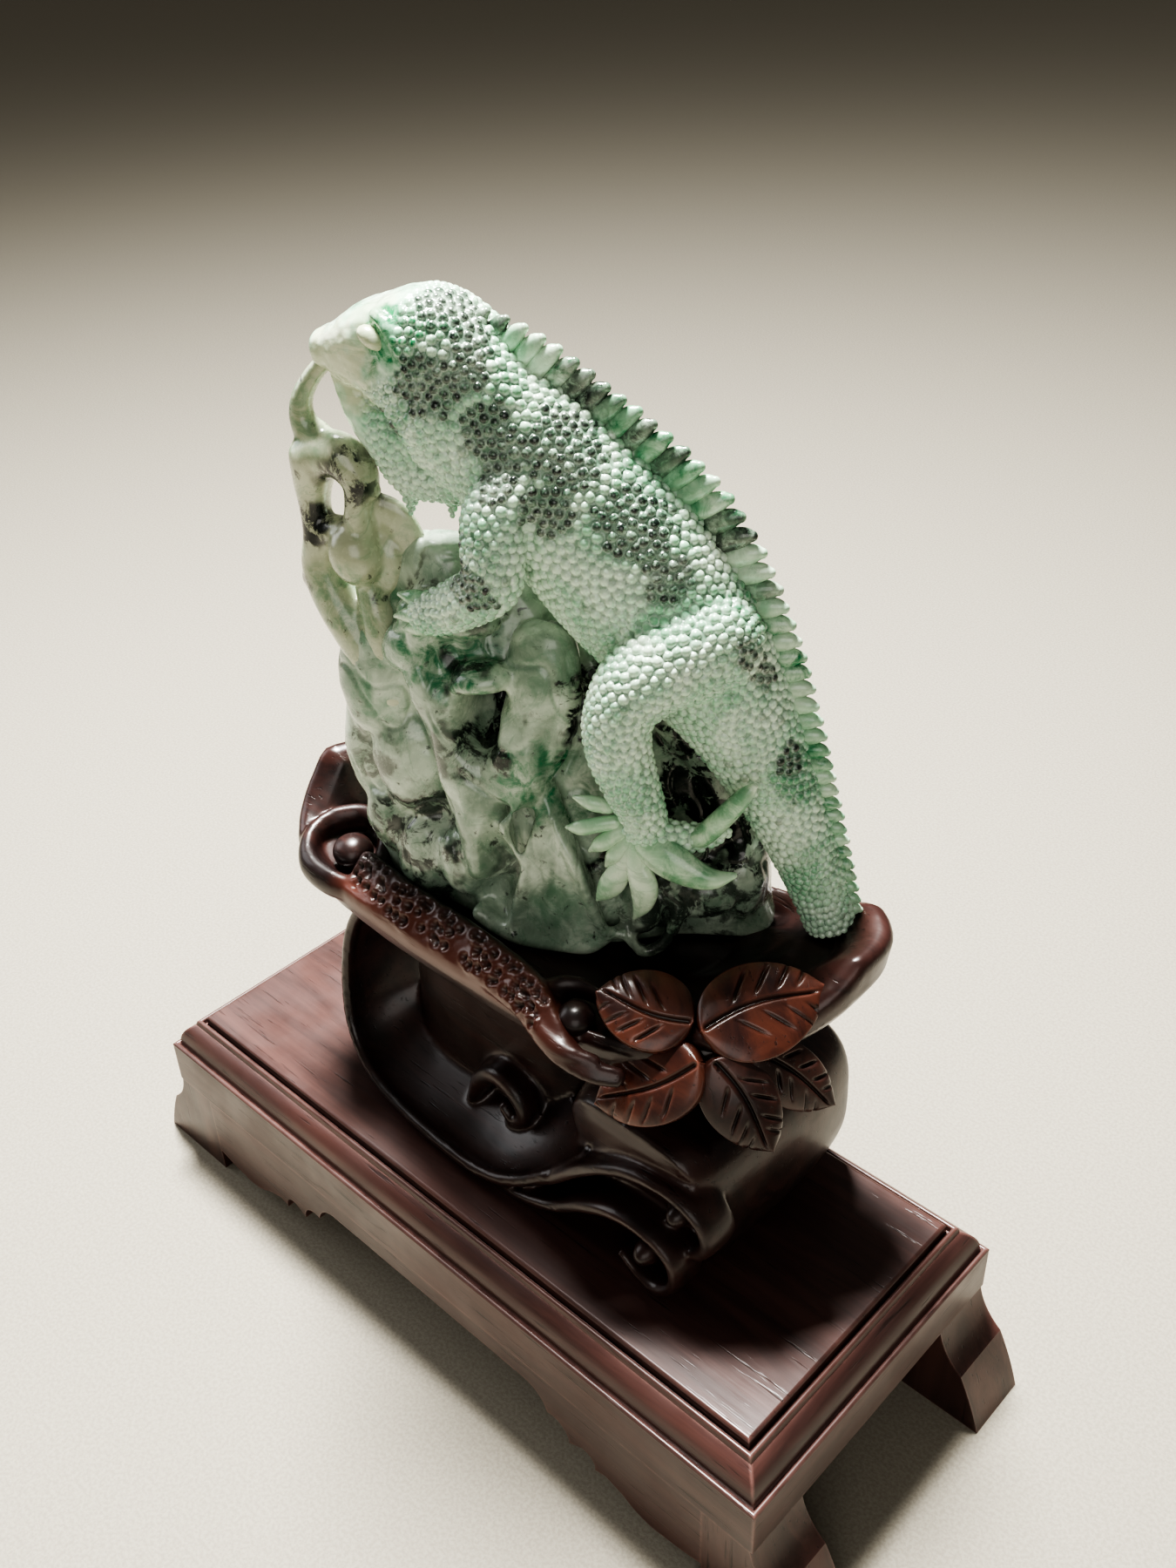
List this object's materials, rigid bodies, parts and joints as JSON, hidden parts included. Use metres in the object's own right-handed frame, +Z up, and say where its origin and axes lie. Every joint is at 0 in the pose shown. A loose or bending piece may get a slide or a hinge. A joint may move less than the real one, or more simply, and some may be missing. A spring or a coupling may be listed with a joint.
{
  "type": "jade figurine",
  "caption": "Carved jade lizard climbing a rock, in a fitted carved wood stand with leaves, on a low moulded wood table.",
  "frame": {"origin": "on the floor under the middle of the low table", "axes": "+Z up, +X along the table's long side towards the leaves and the lizard's tail, +Y to the back"},
  "size_m": [0.292, 0.1132, 0.3225],
  "materials": {
    "green_jade": "polished mottled pale green jade with near-black patches",
    "grey_jade": "polished grey-green jade with dark specks",
    "stand_wood": "dark polished rosewood",
    "leaf_wood": "red-brown polished rosewood with cut veins",
    "table_wood": "waxed rosewood with fine grain"
  },
  "bodies": {
    "table": {"table_apron_back": "table_wood", "table_apron_front": "table_wood", "table_batten_left": "table_wood", "table_batten_right": "table_wood", "table_leg_back_left": "table_wood", "table_leg_back_right": "table_wood", "table_leg_front_left": "table_wood", "table_leg_front_right": "table_wood", "table_rail_back": "table_wood", "table_rail_front": "table_wood", "table_rail_left": "table_wood", "table_rail_right": "table_wood", "table_top_panel": "table_wood"},
    "stand": {"stand_core": "stand_wood", "stand_deck": "stand_wood", "stand_foot_left": "stand_wood", "stand_inner_curl": "stand_wood", "stand_leaf_a": "leaf_wood", "stand_leaf_b": "leaf_wood", "stand_leaf_c": "leaf_wood", "stand_leaf_d": "leaf_wood", "stand_leaf_e": "leaf_wood", "stand_petal": "stand_wood", "stand_ribbon": "stand_wood", "stand_rim_ball_left": "stand_wood", "stand_rim_ball_right": "stand_wood", "stand_rim_band": "stand_wood", "stand_rim_scroll_left": "stand_wood", "stand_rim_scroll_right": "stand_wood", "stand_scroll_lower": "stand_wood", "stand_scroll_upper": "stand_wood", "stand_slab": "stand_wood", "stand_slab_neck": "stand_wood", "stand_wave": "stand_wood"},
    "jade": {"lizard_crest": "green_jade", "lizard_dewlap": "green_jade", "lizard_eyes": "green_jade", "lizard_foot_left": "green_jade", "lizard_foot_right": "green_jade", "lizard_foreleg_left": "green_jade", "lizard_foreleg_right": "green_jade", "lizard_head": "green_jade", "lizard_hindleg_left": "green_jade", "lizard_hindleg_right": "green_jade", "lizard_tail": "green_jade", "lizard_torso": "green_jade", "rock": "grey_jade", "vine_cap": "grey_jade", "vine_stem": "grey_jade", "vine_tendril": "grey_jade"}
  },
  "joints": [
    {"name": "stand_lift", "type": "slide", "parent": "table", "child": "stand", "axis": [0, 0, 1], "range_m": [0, 0.12]},
    {"name": "jade_lift", "type": "slide", "parent": "stand", "child": "jade", "axis": [0, 0, 1], "range_m": [0, 0.12]}
  ]
}
